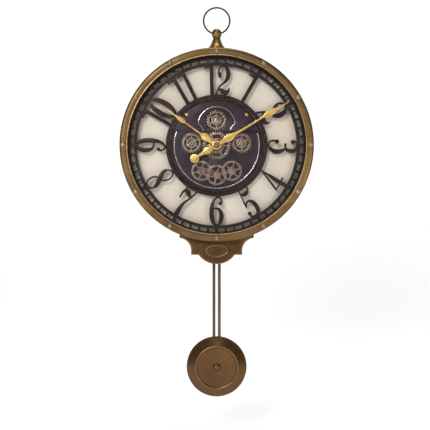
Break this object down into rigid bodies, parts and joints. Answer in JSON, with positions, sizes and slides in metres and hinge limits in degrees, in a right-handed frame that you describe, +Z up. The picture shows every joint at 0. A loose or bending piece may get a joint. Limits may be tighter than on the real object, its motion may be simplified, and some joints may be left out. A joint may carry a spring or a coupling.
{
  "type": "pendulum wall clock",
  "caption": "Round wall clock with openwork numerals, an open gear chamber in the dial, rivetted brass bezel, ball finial with bow ring, and a twin-rod pendulum.",
  "frame": {"origin": "on the hands' axis in the wall plane, at the back face of the case", "axes": "+Z up, +X to the right as seen from the front, +Y into the wall; the dial faces -Y"},
  "size_m": [0.3, 0.0612, 0.616],
  "materials": {
    "bezel_brass": "antique brass with a brown patina",
    "drum_bronze": "dark bronze enamel",
    "cover_black": "black enamel",
    "door_plastic": "matt",
    "screw_steel": "zinc plated",
    "clear_glass": "polished",
    "gasket_rubber": "matt",
    "dial_cream": "aged cream enamel",
    "track_bronze": "dark bronze lacquer",
    "chamber_dark": "dark satin enamel",
    "bridge_dark": "dark satin enamel",
    "trim_silver": "polished",
    "gear_pewter": "pewter",
    "gear_brass": "satin",
    "arbor_steel": "polished",
    "hand_gold": "satin gold",
    "cap_brass": "satin",
    "movement_plastic": "matt",
    "cell_jacket": "printed jacket",
    "coil_copper": "enamelled wire",
    "motor_steel": "plated",
    "magnet_nickel": "nickel plated",
    "rod_bronze": "dark bronze lacquer",
    "bob_bronze": "spun bronze with a brown patina",
    "finial_bronze": "dark bronze",
    "apron_bronze": "antique bronze",
    "medallion_bronze": "dark bronze"
  },
  "bodies": {
    "case": {"front_bezel": "bezel_brass", "bezel_rivets": "bezel_brass", "case_drum": "drum_bronze", "apron_bracket": "drum_bronze", "rear_cover": "cover_black", "battery_door": "door_plastic", "rear_cover_screws": "screw_steel", "case_screws": "screw_steel", "front_glass": "clear_glass", "glass_gasket": "gasket_rubber", "bush_washer": "gasket_rubber", "dial_plate": "dial_cream", "minute_track": "track_bronze", "numerals": "track_bronze", "chamber_plate": "chamber_dark", "chamber_ring": "chamber_dark", "chamber_bridges": "bridge_dark", "bridge_edge_trims": "trim_silver", "plate_screws": "cap_brass", "movement_bush": "cap_brass", "bush_nut": "cap_brass", "pivot_pin": "arbor_steel", "dial_posts": "arbor_steel", "movement_rear_shell": "movement_plastic", "movement_front_plate": "movement_plastic", "driver_housing": "movement_plastic", "battery": "cell_jacket", "stepper_coil": "coil_copper", "driver_coil": "coil_copper", "motor_body": "motor_steel", "finial": "finial_bronze", "apron": "apron_bronze", "oval_medallion": "medallion_bronze"},
    "minute_hand_arbor": {"minute_hand": "hand_gold", "minute_arbor": "arbor_steel", "hand_cap_nut": "cap_brass"},
    "hour_hand_tube": {"hour_hand": "hand_gold", "hour_tube": "gear_brass"},
    "time_setting": {"minute_wheel": "gear_brass", "time_set_knob": "movement_plastic"},
    "centre_gear_train": {"centre_gear": "gear_pewter", "centre_gear_tube": "cap_brass", "lower_drive_wheel": "gear_brass", "side_drive_wheel": "gear_brass"},
    "top_planet": {"top_gear": "gear_pewter"},
    "left_planet": {"left_gear": "gear_pewter"},
    "right_planet": {"right_gear": "gear_pewter"},
    "lower_left_planet": {"lower_left_gear": "gear_pewter"},
    "lower_middle_planet": {"lower_middle_gear": "gear_pewter"},
    "lower_right_planet": {"lower_right_gear": "gear_pewter"},
    "motor_drive": {"motor_pinion": "gear_brass"},
    "pendulum": {"pendulum_hanger": "rod_bronze", "hanger_magnet": "magnet_nickel", "pendulum_yoke": "rod_bronze", "pendulum_rods": "rod_bronze", "bob_front_shell": "bob_bronze", "bob_back_plate": "bob_bronze", "bob_rod_clamp": "bob_bronze", "bob_knob": "bob_bronze"},
    "bow": {"bow_ring": "finial_bronze"}
  },
  "joints": [
    {"name": "minute_turn", "type": "hinge", "parent": "case", "child": "minute_hand_arbor", "pos_m": [0, 0, 0], "axis": [0, 1, 0], "continuous": true},
    {"name": "hour_turn", "type": "hinge", "parent": "case", "child": "hour_hand_tube", "pos_m": [0, 0, 0], "axis": [0, 1, 0], "continuous": true},
    {"name": "setting_turn", "type": "hinge", "parent": "case", "child": "time_setting", "pos_m": [0, 0, -0.012], "axis": [0, 1, 0], "continuous": true},
    {"name": "centre_gear_turn", "type": "hinge", "parent": "case", "child": "centre_gear_train", "pos_m": [0, 0, 0], "axis": [0, 1, 0], "continuous": true},
    {"name": "top_gear_turn", "type": "hinge", "parent": "case", "child": "top_planet", "pos_m": [0, 0, 0.03935], "axis": [0, 1, 0], "continuous": true},
    {"name": "left_gear_turn", "type": "hinge", "parent": "case", "child": "left_planet", "pos_m": [-0.03914, 0, 0.0041], "axis": [0, 1, 0], "continuous": true},
    {"name": "right_gear_turn", "type": "hinge", "parent": "case", "child": "right_planet", "pos_m": [0.03914, 0, 0.0041], "axis": [0, 1, 0], "continuous": true},
    {"name": "lower_left_turn", "type": "hinge", "parent": "case", "child": "lower_left_planet", "pos_m": [-0.02369, 0, -0.03943], "axis": [0, 1, 0], "continuous": true},
    {"name": "lower_middle_turn", "type": "hinge", "parent": "case", "child": "lower_middle_planet", "pos_m": [0, 0, -0.046], "axis": [0, 1, 0], "continuous": true},
    {"name": "lower_right_turn", "type": "hinge", "parent": "case", "child": "lower_right_planet", "pos_m": [0.02369, 0, -0.03943], "axis": [0, 1, 0], "continuous": true},
    {"name": "motor_turn", "type": "hinge", "parent": "case", "child": "motor_drive", "pos_m": [0.04169, 0, -0.01944], "axis": [0, 1, 0], "continuous": true},
    {"name": "pendulum_swing", "type": "hinge", "parent": "case", "child": "pendulum", "pos_m": [0, -0.012, -0.04], "axis": [0, 1, 0], "range_deg": [-5, 5]},
    {"name": "bow_tilt", "type": "hinge", "parent": "case", "child": "bow", "pos_m": [0, -0.028, 0.1764], "axis": [1, 0, 0], "range_deg": [-30, 95]}
  ],
  "couplings": [
    {"joint": "hour_turn", "follows": "minute_turn", "ratio": 0.083333},
    {"joint": "setting_turn", "follows": "minute_turn", "ratio": -0.33333},
    {"joint": "top_gear_turn", "follows": "centre_gear_turn", "ratio": -5.5},
    {"joint": "left_gear_turn", "follows": "centre_gear_turn", "ratio": -5.5},
    {"joint": "right_gear_turn", "follows": "centre_gear_turn", "ratio": -5.5},
    {"joint": "lower_left_turn", "follows": "centre_gear_turn", "ratio": -5.5714},
    {"joint": "lower_middle_turn", "follows": "centre_gear_turn", "ratio": -5.5714},
    {"joint": "lower_right_turn", "follows": "centre_gear_turn", "ratio": -5.5714},
    {"joint": "motor_turn", "follows": "centre_gear_turn", "ratio": -5.5714}
  ]
}
